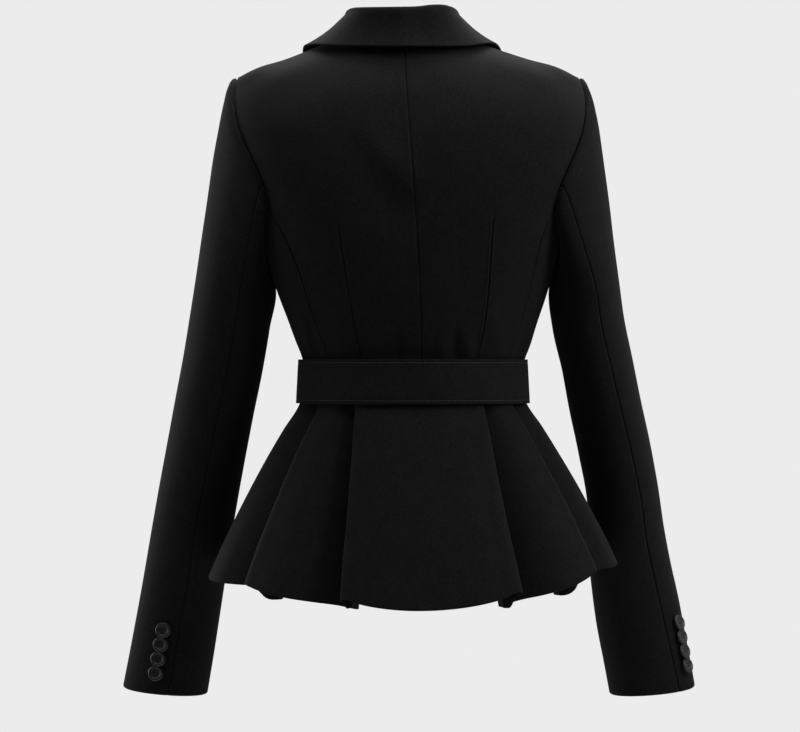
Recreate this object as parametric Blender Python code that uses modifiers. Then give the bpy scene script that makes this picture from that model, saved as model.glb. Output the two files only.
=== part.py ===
"""A belted blazer with a pleated peplum, filled out as if worn, in metres.

The front faces -Y, the wearer's left is +X, and the origin is the middle of the neck opening at the
height of the neck points. Each cut and sewn piece is one object: a wall of cloth whose outer face is
worked out from the sections below. Sizes and tables are in millimetres.
"""
import math

import bmesh
import bpy
import numpy as np
from mathutils import Matrix, Vector

MM = 0.001
SIDES = {"left": 1, "right": -1}
BACK, FRONT = 1, -1

# Cloth thickness, and the distance that every edge stands back from its seam line
CLOTH = 1.6
PEPLUM_CLOTH = 1.2
COLLAR_CLOTH = 2.0
BELT_CLOTH = 2.4
SEAM_TRIM = 0.16
SLEEVE_TRIM = 0.28
LAID_ON = 0.8

# Heights of the body's seams
WAIST = -352
BREAK = -300
SEAM_JOIN = -178
SEAM_HEIGHTS = np.array([WAIST, -326, BREAK, -275, -250, -226, -202, SEAM_JOIN])

# Neck and shoulders
NECK_HALF = 75
NECK_POINT = -3
NECK_DIP = 9
SHOULDER_TIP = -39
NECK_COLUMNS = 4
SHOULDER_COLUMNS = 4
FRONT_COLUMNS = 6

# Front edge: the right front laps over the left, which lies deeper where it is covered
LAP = 22
LAP_DEPTH = 6.5
LAP_FADE = (30, 75)
LAPEL_WIDTH = 78
LAPEL_FOOT = 4
GORGE = -50
GORGE_DROP = 22
LAPEL_PUFF = 3.0
LAPEL_COLUMNS = 5
LAPEL_UPPER_ROWS = 5

# The body's rings, from the waist up: a superellipse with its own reach to the back and the front
BODY_COLUMNS = ("height", "half_width", "back", "front", "squareness", "centre_x", "seam_shift")
BODY_SECTIONS = [
    (-352, 111.0, 79.0, 88.0, 2.00, -4.0, -8.0),
    (-329, 114.0, 81.5, 92.0, 2.05, -4.0, -8.0),
    (-309, 121.5, 84.5, 101.0, 2.15, -4.0, -7.9),
    (-288, 129.0, 88.0, 111.0, 2.20, -3.8, -7.6),
    (-257, 140.0, 93.5, 124.0, 2.30, -3.4, -7.0),
    (-225, 149.5, 99.0, 132.0, 2.45, -2.6, -6.3),
    (-190, 158.5, 104.0, 128.0, 2.60, -1.8, -5.0),
    (-150, 171.0, 106.0, 117.0, 2.80, -0.8, -3.0),
    (-110, 181.0, 103.5, 101.0, 2.80, 0.0, -1.0),
    (-70, 184.0, 94.0, 84.0, 2.40, 0.5, 1.5),
    (-39, 176.0, 80.0, 66.0, 2.00, 1.0, 3.0),
    (-30, 151.0, 73.5, 60.0, 2.00, 1.7, 2.5),
    (-21, 126.0, 67.0, 55.0, 2.00, 2.5, 2.0),
    (-12, 100.5, 60.5, 50.0, 2.00, 5.0, 1.0),
    (-3, 75.0, 50.0, 44.0, 2.00, 7.0, 0.0),
]

# Seams below the armhole, as a share of the body's half-width
SEAM_COLUMNS = ("height", "dart", "side_back", "side_front")
SEAM_SHARES = [
    (-352, 0.513, 0.785, 0.800),
    (-322, 0.519, 0.806, 0.812),
    (-287, 0.510, 0.815, 0.825),
    (-248, 0.498, 0.814, 0.840),
    (-211, 0.490, 0.835, 0.860),
]
DART_SHIFT = 0.8
SIDE_SHIFT = 0.7
SHIFT_FADE = 60

# Armhole: an egg in the side view, fuller below
ARMHOLE_MID = -123.5
ARMHOLE_HALF = 84.5
ARMHOLE_BACK = {SIDES["left"]: (65, 0.5), SIDES["right"]: (57, 0.72)}
ARMHOLE_FRONT = (58, 0.4)
ARMHOLE_STEPS = 7
UNDERARM_STEPS = 6

# Collar, half of it from the centre back to the gorge: the seam, the roll and the fall's edge
COLLAR_COLUMNS = (
    "around", "centre_x", "seam_x", "seam_y", "seam_z",
    "roll_x", "roll_y", "roll_z", "edge_x", "edge_y", "edge_z",
)
COLLAR_STATIONS = [
    (0, 7, 0.0, 59.3, -11.5, 0.0, 66.0, 25.0, 0.0, 77.0, -14.0),
    (41, 7, 39.0, 51.5, -8.8, 34.0, 57.0, 26.0, 56.0, 63.0, -13.0),
    (75, 7, 61.5, 32.0, -4.8, 51.0, 31.0, 28.0, 88.0, 37.0, -8.5),
    (109, 7, 73.0, 0.0, -2.0, 55.5, 0.0, 28.5, 100.0, 1.0, -6.0),
    (159, 4, 68.0, -44.0, -18.0, 58.5, -38.0, 4.0, 106.0, -40.0, -14.0),
    (201, 1, 59.2, -69.5, -48.0, 60.0, -76.5, -43.5, 104.0, -78.0, -56.5),
]
COLLAR_ROLL = 2.85
COLLAR_SAG = 2.5
COLLAR_HALF_COLUMNS = 12
STAND_SHARES = (0, 0.35, 0.7)
ROLL_TURNS = (180, 135, 90, 45, 0)
FALL_SHARES = (0.2, 0.45, 0.7, 1)

# Sleeve rings, square to the sleeve's own axis, from the cuff up
SLEEVE_COLUMNS = ("height", "left_x", "right_x", "centre_y", "left_half", "right_half", "half_depth")
SLEEVE_SECTIONS = [
    (-679, 257.8, 258.2, -81, 44.9, 45.3, 38.0),
    (-587, 241.6, 240.5, -74, 43.2, 45.0, 40.5),
    (-530, 231.7, 231.0, -65, 42.4, 41.4, 43.5),
    (-476, 222.0, 225.2, -54, 41.8, 37.9, 46.0),
    (-373, 201.5, 203.6, -31, 41.5, 37.4, 52.0),
    (-328, 191.9, 194.0, -21, 41.8, 36.9, 55.5),
    (-268, 181.9, 182.0, -11, 41.7, 37.5, 60.0),
    (-249, 179.4, 181.0, -8, 41.1, 35.7, 61.5),
]
SLEEVE_ROWS = 10
CAP_ROWS = np.array([0, 0.15, 0.3, 0.46, 0.64, 0.82])
CAP_RISE = 11
CAP_OUT = (1.0, 0.24)
CAP_TUCK = 0.24
TUCK_FROM = 0.7
CAP_DOWN = (0.0, 0.6)
CAP_LEAN = 0.08
CAP_GAP = 0.45
# Angles of the hindarm seam below the cap and at the cuff: 0 is outward, 90 is the back of the arm
HINDARM = {"left": (103, 97), "right": (79, 55)}

# Cuff buttons; the profile's radius and height run from the middle of the face, over the rim, to the back
BUTTONS = 4
BUTTON_PITCH = 15.3
BUTTON_LOWEST = 23
BUTTON_FROM_SEAM = 20
BUTTON_TILT = 13
BUTTON_STAND = 2.0
BUTTON_STEPS = 14
BUTTON_PROFILE = [
    (0, 1.6), (4.6, 1.8), (6.0, 2.7), (7.3, 2.7), (8.25, 1.8), (8.25, 0.9), (7.4, 0), (0, 0),
]

# Belt and buckle
BELT_TOP, BELT_BOTTOM = -329, -374
BELT_COLUMNS = ("height", "half_width", "back", "front")
BELT_SECTIONS = [(BELT_BOTTOM, 120.5, 87.8, 98.4), (BELT_TOP, 118.2, 86.2, 97.0)]
BELT_CENTRE = -4
BELT_START, BELT_END = 190, -224
BELT_STEP = 6
BELT_ROWS = 2
TAIL_RISE = 3.2
TAIL_RAMP = (-155, -172)
BUCKLE_WIDTH, BUCKLE_HEIGHT = 46, 60
BUCKLE_CORNER = 7
BUCKLE_CORNER_STEPS = 3
BUCKLE_WIRE = 3
BUCKLE_STAND = 5.2

# Peplum: angles run from the centre back, over the wearer's side, to the front
PEPLUM_TOP = (111.0, 79.0, 88.0)
PEPLUM_BELTED = (116.2, 82.8, 93.2)
PEPLUM_HEM = (208.0, 158.0, 150.0)
PEPLUM_CENTRE = -4
PEPLUM_SHIFT = (-8, -17)
PEPLUM_FLARE = 1.2
PEPLUM_ROWS = 8
FLARED_SHARE = 0.25
BELTED_SHARE = 0.105
CENTRE_HEM = -574
CENTRE_BEND = 2
HEM_TILT = 7.5
PLEAT_COLUMNS = (
    "outer_waist", "outer_hem", "outer_drop", "inner_waist", "inner_hem", "inner_drop", "covered_drop",
)
PLEATS = {
    "left": [
        (34.5, 25.3, -561.0, 25.5, 22.6, -570.0, -573.0),
        (56.7, 57.7, -547.0, 46.0, 46.6, -562.0, -551.0),
        (85.0, 92.0, -545.0, 75.0, 78.0, -549.5, -547.0),
    ],
    "right": [
        (34.5, 28.2, -561.0, 25.5, 22.5, -576.5, -577.0),
        (56.7, 60.8, -547.0, 46.0, 44.0, -569.2, -551.0),
        (85.0, 92.0, -545.0, 75.0, 78.0, -549.5, -547.0),
    ],
}
SPLIT_PLEAT = 1
FRONT_WAIST, FRONT_HEM, FRONT_DROP = 191, 189, -556
FOLD_RADIUS = (1.3, 4.0)
FOLD_STEPS = 4
FOLD_DROP = 3.5
COVERED_MIDDLE = 0.6
FRONT_LAP_FROM = 158
FRONT_RISEN = 150
CENTRE_PANEL_COLUMNS = 4
PANEL_COLUMNS = 6
FRONT_PANEL_COLUMNS = 10

# Looks
SHARP_EDGE = 60
BLACK_CLOTH = (0.011, 0.011, 0.012)
CLOTH_ROUGHNESS = 0.85
BLACK_HORN = (0.009, 0.009, 0.010)
HORN_ROUGHNESS = 0.4


def read_table(columns, rows):
    """The named columns of a table, each as an array."""
    return dict(zip(columns, np.array(rows, float).T))


BODY = read_table(BODY_COLUMNS, BODY_SECTIONS)
SEAMS = read_table(SEAM_COLUMNS, SEAM_SHARES)
COLLAR = read_table(COLLAR_COLUMNS, COLLAR_STATIONS)
SLEEVE = read_table(SLEEVE_COLUMNS, SLEEVE_SECTIONS)
BELT = read_table(BELT_COLUMNS, BELT_SECTIONS)


def smooth(knots, values, at):
    """A curve through a table's rows that never overshoots them, read at one or many places."""
    knots = np.asarray(knots, float)
    values = np.asarray(values, float)
    steps = np.diff(knots)
    slopes = np.diff(values) / steps
    same_way = slopes[:-1] * slopes[1:] > 0
    total = np.where(same_way, slopes[:-1] + slopes[1:], 1)
    inner = np.where(same_way, 2 * slopes[:-1] * slopes[1:] / total, 0)
    tangents = np.concatenate([slopes[:1], inner, slopes[-1:]])
    at = np.clip(at, knots[0], knots[-1])
    i = np.clip(np.searchsorted(knots, at) - 1, 0, len(steps) - 1)
    s = (at - knots[i]) / steps[i]
    ends = values[i] * (1 + 2 * s) * (1 - s) ** 2 + values[i + 1] * s * s * (3 - 2 * s)
    return ends + steps[i] * (tangents[i] * s * (1 - s) ** 2 - tangents[i + 1] * s * s * (1 - s))


def mix(first, last, share):
    """The value a share of the way from the first to the last."""
    return first + (last - first) * share


def ease(first, last, at):
    """A soft step from 0 at the first place to 1 at the last."""
    share = np.clip((at - first) / (last - first), 0, 1)
    return share * share * (3 - 2 * share)


def sheet_normals(grid):
    """Unit normals of a grid of points, which point out where its columns run to the right."""
    across, along = (np.gradient(grid, axis=axis, edge_order=2) for axis in (1, 0))
    normals = np.cross(across, along)
    return normals / np.linalg.norm(normals, axis=2, keepdims=True)


def outward(grid, inside):
    """Unit normals of a grid that look away from a point inside."""
    normals = sheet_normals(grid)
    return normals * np.sign(np.sum(normals * (grid - inside)))


def trim_edges(grid, trim):
    """The grid with its four borders pulled in, so that it stands clear of the next piece."""
    grid = grid.copy()
    for axis in (0, 1):
        lines = np.moveaxis(grid, axis, 0)
        for edge, inside in ((0, 1), (-1, -2)):
            step = lines[inside] - lines[edge]
            lines[edge] += step * trim / np.linalg.norm(step, axis=1, keepdims=True)
    return grid


def plain_material(name, colour, roughness):
    """A Principled material of the piece's own."""
    material = bpy.data.materials.new(name)
    material.use_nodes = True
    shader = material.node_tree.nodes["Principled BSDF"]
    shader.inputs["Base Color"].default_value = (*colour, 1)
    shader.inputs["Roughness"].default_value = roughness
    shader.inputs["Metallic"].default_value = 0
    return material


def add_part(parts, name, data, colour=BLACK_CLOTH, roughness=CLOTH_ROUGHNESS):
    """An object of the collection with its own material."""
    part = bpy.data.objects.new(name, data)
    data.materials.append(plain_material(name, colour, roughness))
    parts.objects.link(part)
    return part


def add_sheet(parts, name, grid, normals, thickness, outer_share=0, trim=SEAM_TRIM):
    """A wall of cloth from a grid of points and the way its outer face looks at each.

    The share of the thickness that lies outside the points is 0 or a half.
    """
    if np.sum(sheet_normals(grid) * normals) < 0:
        grid, normals = grid[:, ::-1], normals[:, ::-1]
    points = trim_edges(grid, trim)
    rows, columns = points.shape[:2]
    mesh = bpy.data.meshes.new(name)
    wall = bmesh.new()
    faces = [points + normals * thickness * share for share in (outer_share, outer_share - 1)]
    outer, inner = ([[wall.verts.new(point * MM) for point in row] for row in face] for face in faces)
    for i in range(rows - 1):
        for j in range(columns - 1):
            wall.faces.new((outer[i][j], outer[i][j + 1], outer[i + 1][j + 1], outer[i + 1][j]))
            wall.faces.new((inner[i][j], inner[i + 1][j], inner[i + 1][j + 1], inner[i][j + 1]))
    rim = [(0, j) for j in range(columns)] + [(i, columns - 1) for i in range(1, rows)]
    rim += [(rows - 1, j) for j in range(columns - 2, -1, -1)] + [(i, 0) for i in range(rows - 2, 0, -1)]
    for (i, j), (k, m) in zip(rim, rim[1:] + rim[:1]):
        wall.faces.new((outer[k][m], outer[i][j], inner[i][j], inner[k][m]))
    wall.to_mesh(mesh)
    wall.free()
    mesh.shade_smooth()
    mesh.set_sharp_from_angle(angle=math.radians(SHARP_EDGE))
    return add_part(parts, name, mesh)


def body(column, height):
    """One of the body's sizes at a height."""
    return smooth(BODY["height"], BODY[column], height)


def seam_share(seam, side, height):
    """Where a seam below the armhole lies, as a share of the body's half-width."""
    end = SEAMS[seam][-1]
    if seam != "dart":
        face = BACK if seam == "side_back" else FRONT
        across = np.abs(armhole(side, face * JOIN_ANGLE)[0] - body("centre_x", SEAM_JOIN))
        end = across / body("half_width", SEAM_JOIN)
    knots = np.append(SEAMS["height"], SEAM_JOIN)
    return smooth(knots, np.append(SEAMS[seam], end), height)


def body_depth(x, height, face):
    """The y of the body's surface at an x and a height, on its back or its front."""
    power = body("squareness", height)
    share = np.clip(np.abs(x - body("centre_x", height)) / body("half_width", height), 0, 1)
    reach = body("back" if face == BACK else "front", height)
    return face * reach * (1 - share ** power) ** (1 / power)


def body_half(y, height):
    """The half-width of the body's surface at a y and a height."""
    power = body("squareness", height)
    reach = np.where(y > 0, body("back", height), body("front", height))
    share = np.clip(np.abs(y) / reach, 0, 1)
    return body("half_width", height) * (1 - share ** power) ** (1 / power)


def armhole(side, angle):
    """Points of the armhole's edge: 0 is the shoulder tip and 90 the back."""
    turn = np.radians(angle)
    height = ARMHOLE_MID + ARMHOLE_HALF * np.cos(turn)
    depth, egg = np.where(np.sin(turn)[..., None] > 0, ARMHOLE_BACK[side], ARMHOLE_FRONT).T
    y = depth * np.sin(turn) * (1 - egg * np.cos(turn))
    return np.stack([body("centre_x", height) + side * body_half(y, height), y, height], axis=-1)


JOIN_ANGLE = math.degrees(math.acos((SEAM_JOIN - ARMHOLE_MID) / ARMHOLE_HALF))
ARMHOLE_ANGLES = np.linspace(JOIN_ANGLE, 0, ARMHOLE_STEPS + 1)
UNDERARM_ANGLES = np.linspace(JOIN_ANGLE, 360 - JOIN_ANGLE, UNDERARM_STEPS + 1)
ARMHOLE_CLIMB = (armhole(SIDES["left"], ARMHOLE_ANGLES)[:, 2] - SEAM_JOIN) / (SHOULDER_TIP - SEAM_JOIN)
TOP_SLEEVE_ANGLES = np.concatenate([ARMHOLE_ANGLES[1:], -ARMHOLE_ANGLES[-2::-1]])
UNDER_SLEEVE_ANGLES = np.append(UNDERARM_ANGLES[::-1], ARMHOLE_ANGLES[1]) - 360
FOREARM = len(TOP_SLEEVE_ANGLES) - 1


def centre_back(height):
    """The x of the centre back seam, which leans to the wearer's right lower down."""
    return body("centre_x", height) + body("seam_shift", height)


def side_seam(seam, side, height):
    """The x of a seam beside the armhole's foot."""
    fade = np.clip((SEAM_JOIN - height) / SHIFT_FADE, 0, 1)
    shift = SIDE_SHIFT * fade * body("seam_shift", height)
    reach = side * body("half_width", height) * seam_share(seam, side, height)
    return body("centre_x", height) + reach + shift


def dart_line(side, height):
    """The x of the waist dart, which runs up towards the neck point."""
    reach = side * body("half_width", height) * seam_share("dart", side, height)
    return body("centre_x", height) + reach + DART_SHIFT * body("seam_shift", height)


def shoulder_line(side, columns):
    """x and height along the shoulder's crest, from the neck point to the shoulder tip."""
    height = np.linspace(NECK_POINT, SHOULDER_TIP, columns + 1)
    return body("centre_x", height) + side * body("half_width", height), height


def upper_rows(top_height):
    """Heights above the seams' join, one row for each step round the armhole."""
    return SEAM_JOIN + np.outer(ARMHOLE_CLIMB, top_height - SEAM_JOIN)


def body_grid(x, height, face):
    """Points of the body's surface."""
    return np.stack([x, body_depth(x, height, face), height], axis=2)


def body_normals(grid):
    """The way the body's surface looks at each point, from how its rings grow around the point."""
    def level(points):
        x, y, height = np.moveaxis(points, 2, 0)
        power = body("squareness", height)
        reach = np.where(y > 0, body("back", height), body("front", height))
        across = np.abs(x - body("centre_x", height)) / body("half_width", height)
        return across ** power + (np.abs(y) / reach) ** power

    step = np.eye(3) * 0.5
    normals = np.stack([level(grid + move) - level(grid - move) for move in step], axis=2)
    return normals / np.linalg.norm(normals, axis=2, keepdims=True)


def back_panel(side):
    """Grid of a back panel: the centre seam, the dart and the side seam are three of its columns."""
    inner = np.linspace(0, 1, NECK_COLUMNS + 1)
    outer = np.linspace(0, 1, SHOULDER_COLUMNS + 1)
    z = SEAM_HEIGHTS[:, None]
    dart = dart_line(side, z)
    beyond = mix(dart, side_seam("side_back", side, z), outer[1:])
    lower = np.hstack([mix(centre_back(z), dart, inner), beyond])
    neck_z = NECK_POINT - NECK_DIP * (1 - inner ** 2)
    neck_x = mix(centre_back(neck_z), body("centre_x", neck_z) + side * NECK_HALF, inner)
    crest_x, crest_z = shoulder_line(side, SHOULDER_COLUMNS)
    top_x = np.concatenate([neck_x, crest_x[1:]])
    upper_z = upper_rows(np.concatenate([neck_z, crest_z[1:]]))
    climb = ARMHOLE_CLIMB[:, None]
    upper = mix(lower[-1], top_x, climb)
    to_centre = centre_back(upper_z[:, :1]) - upper[:, :1]
    to_armhole = armhole(side, ARMHOLE_ANGLES)[:, :1] - upper[:, -1:]
    upper[:, :NECK_COLUMNS + 1] += to_centre * (1 - inner)
    upper[:, NECK_COLUMNS:] += to_armhole * outer
    x = np.vstack([lower, upper[1:]])
    heights = np.vstack([np.broadcast_to(z, lower.shape), upper_z[1:]])
    return body_grid(x, heights, BACK)


def roll_line(height):
    """How far the front's inner edge, where the lapel turns, lies out from the centre front."""
    slope = (NECK_HALF + LAP) / (NECK_POINT - BREAK)
    return np.where(height > BREAK, NECK_HALF - slope * (NECK_POINT - height), -LAP)


def front_edge(side, height):
    """The x of the front's inner edge; it meets the neck point at the top."""
    lean = body("centre_x", height) * ease(BREAK, NECK_POINT, height)
    return lean + side * roll_line(height)


def front_depth(side, grid):
    """The grid with the left front's covered part pushed in under the right front."""
    if side == SIDES["right"]:
        return grid
    covered = 1 - ease(LAP_FADE[0], LAP_FADE[1], grid[..., 0])
    return grid + np.stack([0 * covered, LAP_DEPTH * covered, 0 * covered], axis=2)


def front_panel(side):
    """Grid of a front, from the roll line to the side seam and the armhole."""
    share = np.linspace(0, 1, FRONT_COLUMNS + 1)
    z = SEAM_HEIGHTS[:, None]
    lower = mix(front_edge(side, z), side_seam("side_front", side, z), share)
    crest_x, crest_z = shoulder_line(side, FRONT_COLUMNS)
    upper_z = upper_rows(crest_z)
    upper = mix(front_edge(side, upper_z), armhole(side, -ARMHOLE_ANGLES)[:, :1], share)
    upper += (crest_x - upper[-1]) * ARMHOLE_CLIMB[:, None] ** 2
    x = np.vstack([lower, upper[1:]])
    heights = np.vstack([np.broadcast_to(z, lower.shape), upper_z[1:]])
    return front_depth(side, body_grid(x, heights, FRONT))


def ring_angle(x, y, height):
    """The superellipse angle of a point of the body's side: positive at the back."""
    power = body("squareness", height)
    share = np.abs(x - body("centre_x", height)) / body("half_width", height)
    return np.sign(y) * np.arccos(np.clip(share, 0, 1) ** (power / 2))


def side_panel(side):
    """Grid of a side panel, between the two side seams and under the armhole."""
    share = np.linspace(0, 1, UNDERARM_STEPS + 1)

    def across(height):
        back = ring_angle(side_seam("side_back", side, height), BACK, height)
        front = ring_angle(side_seam("side_front", side, height), FRONT, height)
        return mix(back, front, share)

    top_x, top_y, top_z = armhole(side, UNDERARM_ANGLES).T
    top_angle = ring_angle(top_x, top_y, top_z)
    climb = ((SEAM_HEIGHTS - WAIST) / (SEAM_JOIN - WAIST))[:, None]
    height = WAIST + climb * (top_z - WAIST)
    angle = across(height) + climb ** 2 * (top_angle - across(top_z))
    power = body("squareness", height)
    reach = np.where(angle > 0, body("back", height), body("front", height))
    x = body("centre_x", height) + side * body("half_width", height) * np.cos(angle) ** (2 / power)
    y = reach * np.sign(angle) * np.abs(np.sin(angle)) ** (2 / power)
    return np.stack([x, y, height], axis=2)


def lapel(side):
    """Grid of a lapel, from the front's own points moved out; it is widest at the gorge."""
    across = np.linspace(0, 1, LAPEL_COLUMNS + 1)
    lower = SEAM_HEIGHTS[SEAM_HEIGHTS >= BREAK][:, None] + 0 * across
    climb = np.linspace(0, 1, LAPEL_UPPER_ROWS + 1)[1:, None]
    height = np.vstack([lower, mix(SEAM_JOIN, GORGE - GORGE_DROP * across, climb)])
    up = (height[:, :1] - BREAK) / (GORGE - BREAK)
    x = front_edge(side, height) + side * mix(LAPEL_FOOT, LAPEL_WIDTH, up) * across
    base = body_grid(x, height, FRONT)
    normals = body_normals(base)
    lift = LAID_ON + CLOTH + LAPEL_PUFF * up * np.sin(np.pi * across)
    return front_depth(side, base) + normals * lift[..., None], normals


def collar():
    """Grid of the collar's middle layer: up the stand, over the roll and down the fall."""
    around = np.linspace(-COLLAR["around"][-1], COLLAR["around"][-1], 2 * COLLAR_HALF_COLUMNS + 1)

    def station(column):
        return smooth(COLLAR["around"], COLLAR[column], np.abs(around))

    def line(name):
        x = station("centre_x") + station(f"{name}_x") * np.sign(around)
        return np.stack([x, station(f"{name}_y"), station(f"{name}_z")], axis=1)

    seam, roll, edge = line("seam"), line("roll"), line("edge")
    up = np.array([0, 0, 1.0])
    out = (edge - seam) * [1, 1, 0]
    out /= np.linalg.norm(out, axis=1, keepdims=True)
    inner_foot = roll - COLLAR_ROLL * (out + up)
    outer_foot = roll + COLLAR_ROLL * (out - up)
    centre = roll - COLLAR_ROLL * up
    rows = [mix(seam, inner_foot, share) for share in STAND_SHARES]
    for turn in np.radians(ROLL_TURNS):
        rows.append(centre + COLLAR_ROLL * (np.cos(turn) * out + np.sin(turn) * up))
    fall = edge - outer_foot
    fall /= np.linalg.norm(fall, axis=1, keepdims=True)
    level = np.sum(fall * out, axis=1, keepdims=True)
    sag = fall[:, 2:] * out - level * up
    for share in FALL_SHARES:
        rows.append(mix(outer_foot, edge, share) + COLLAR_SAG * math.sin(math.pi * share) * sag)
    return np.stack(rows)


def sleeve_ring(name, height, angle):
    """Points of a sleeve's ring, square to its axis: 0 is outward and 90 the back of the arm."""
    def centre(at):
        x = SIDES[name] * smooth(SLEEVE["height"], SLEEVE[f"{name}_x"], at)
        return np.array([x, smooth(SLEEVE["height"], SLEEVE["centre_y"], at), at])

    axis = centre(height + 1) - centre(height - 1)
    axis /= np.linalg.norm(axis)
    outward = np.cross([0, SIDES[name], 0], axis)
    outward /= np.linalg.norm(outward)
    back = np.cross(axis, outward) * SIDES[name]
    half = smooth(SLEEVE["height"], SLEEVE[f"{name}_half"], height)
    depth = smooth(SLEEVE["height"], SLEEVE["half_depth"], height)
    turn = np.radians(np.asarray(angle, float))[..., None]
    return centre(height) + half * np.cos(turn) * outward + depth * np.sin(turn) * back


def sleeve_cap(name, angle, ring):
    """Rows of a sleeve's cap, from the armhole out over the shoulder and down to its first ring."""
    side = SIDES[name]
    start = armhole(side, angle)
    turn = np.radians(angle)[:, None]
    radial = np.hstack([0 * turn, np.sin(turn), np.cos(turn)])
    under = (1 - np.cos(turn)) / 2
    sideways = np.array([side, 0, 0])
    out = mix(*CAP_OUT, under) * sideways + mix(*CAP_DOWN, under) * radial
    start = start + CAP_GAP * out / np.linalg.norm(out, axis=1, keepdims=True)
    out = out - CAP_TUCK * ease(TUCK_FROM, 1, under) * sideways
    first = start + CAP_RISE * out
    second = start + CAP_RISE * out + CAP_LEAN * (ring - start)
    return [
        (1 - t) ** 3 * start + 3 * t * (1 - t) ** 2 * first + 3 * t * t * (1 - t) * second + t ** 3 * ring
        for t in CAP_ROWS
    ]


def sleeve(name):
    """Grid of a whole sleeve from the cuff up, once round from the hindarm seam over the top of the arm.

    Its angles are those of the armhole's edge, and the hindarm seam slides round towards the cuff.
    """
    angles = np.concatenate([TOP_SLEEVE_ANGLES, UNDER_SLEEVE_ANGLES[1:]])
    from_seam = np.interp(np.arange(len(angles)), [0, FOREARM, len(angles) - 1], [1, 0, 1])
    top = SLEEVE["height"][-1]
    rings = []
    for share in np.linspace(0, 1, SLEEVE_ROWS + 1):
        slide = mix(*HINDARM[name], share) - TOP_SLEEVE_ANGLES[0]
        rings.append(sleeve_ring(name, mix(top, SLEEVE["height"][0], share), angles + slide * from_seam))
    rows = sleeve_cap(name, angles, rings[0]) + rings
    return np.stack(rows[::-1])


def add_sleeves(parts, name):
    """The top sleeve and the under sleeve of one arm."""
    grid = sleeve(name)
    wrapped = np.concatenate([grid[:, -3:-1], grid, grid[:, 1:3]], axis=1)
    middle = grid[:, :-1].mean(axis=1, keepdims=True)
    normals = outward(wrapped, middle)[:, 2:-2]
    for piece, columns in (("top_sleeve", slice(FOREARM + 1)), ("under_sleeve", slice(FOREARM, None))):
        wall = (grid[:, columns], normals[:, columns], CLOTH)
        add_sheet(parts, f"{piece}_{name}", *wall, trim=SLEEVE_TRIM)


def add_buttons(parts, name):
    """Cuff buttons, each tilted so that it laps over the one below."""
    mesh = bpy.data.meshes.new(f"button_{name}")
    mesh.from_pydata([(r * MM, 0, z * MM) for r, z in BUTTON_PROFILE],
                     [(k, k + 1) for k in range(len(BUTTON_PROFILE) - 1)], [])
    angle = HINDARM[name][1] - BUTTON_FROM_SEAM
    cuff = SLEEVE["height"][0]
    for k in range(BUTTONS):
        height = cuff + BUTTON_LOWEST + (BUTTONS - 1 - k) * BUTTON_PITCH
        point = sleeve_ring(name, height, angle)
        down = Vector(sleeve_ring(name, height - 1, angle) - sleeve_ring(name, height + 1, angle))
        down.normalize()
        across = Vector(sleeve_ring(name, height, angle + 1) - sleeve_ring(name, height, angle - 1))
        out = down.cross(across).normalized() * SIDES[name]
        across = out.cross(down)
        frame = Matrix((across, -down, out)).transposed().to_4x4()
        button = add_part(parts, f"button_{name}_{k + 1}", mesh.copy(), BLACK_HORN, HORN_ROUGHNESS)
        tilt = Matrix.Rotation(math.radians(-BUTTON_TILT), 4, "X")
        button.matrix_world = Matrix.Translation((Vector(point) + BUTTON_STAND * out) * MM) @ frame @ tilt
        turned = button.modifiers.new("Turned", "SCREW")
        turned.steps = turned.render_steps = BUTTON_STEPS
        turned.use_merge_vertices = True
        turned.merge_threshold = 0.00001


def belt():
    """Grid of the belt, once round the waist with its tail over its start."""
    angle = np.linspace(BELT_START, BELT_END, round((BELT_START - BELT_END) / BELT_STEP) + 1)
    turn = np.radians(angle)
    rise = TAIL_RISE * ease(TAIL_RAMP[0], TAIL_RAMP[1], angle)
    rows = []
    for height in np.linspace(BELT_BOTTOM, BELT_TOP, BELT_ROWS + 1):
        half = smooth(BELT["height"], BELT["half_width"], height) + rise
        behind = smooth(BELT["height"], BELT["back"], height) + rise
        before = smooth(BELT["height"], BELT["front"], height) + rise
        y = np.where(np.cos(turn) > 0, behind, before) * np.cos(turn)
        rows.append(np.stack([BELT_CENTRE + half * np.sin(turn), y, 0 * turn + height], axis=1))
    return np.stack(rows)


def add_buckle(parts):
    """A plain covered frame in front of the belt's lap."""
    curve = bpy.data.curves.new("buckle", "CURVE")
    curve.dimensions = "3D"
    curve.bevel_depth = BUCKLE_WIRE * MM
    curve.bevel_resolution = 2
    corners = []
    for quarter in range(4):
        middle = math.radians(45 + 90 * quarter)
        centre_x = math.copysign(BUCKLE_WIDTH / 2 - BUCKLE_CORNER, math.cos(middle))
        centre_z = math.copysign(BUCKLE_HEIGHT / 2 - BUCKLE_CORNER, math.sin(middle))
        for turn in np.radians(90 * quarter + np.linspace(0, 90, BUCKLE_CORNER_STEPS + 1)):
            round_x, round_z = BUCKLE_CORNER * math.cos(turn), BUCKLE_CORNER * math.sin(turn)
            corners.append((centre_x + round_x, centre_z + round_z))
    loop = curve.splines.new("POLY")
    loop.points.add(len(corners) - 1)
    loop.use_cyclic_u = True
    for point, (x, z) in zip(loop.points, corners):
        point.co = (x * MM, 0, z * MM, 1)
    buckle = add_part(parts, "buckle", curve)
    y = -(BELT["front"].mean() + BUCKLE_STAND)
    buckle.location = Vector((BELT_CENTRE, y, (BELT_TOP + BELT_BOTTOM) / 2)) * MM


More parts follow.
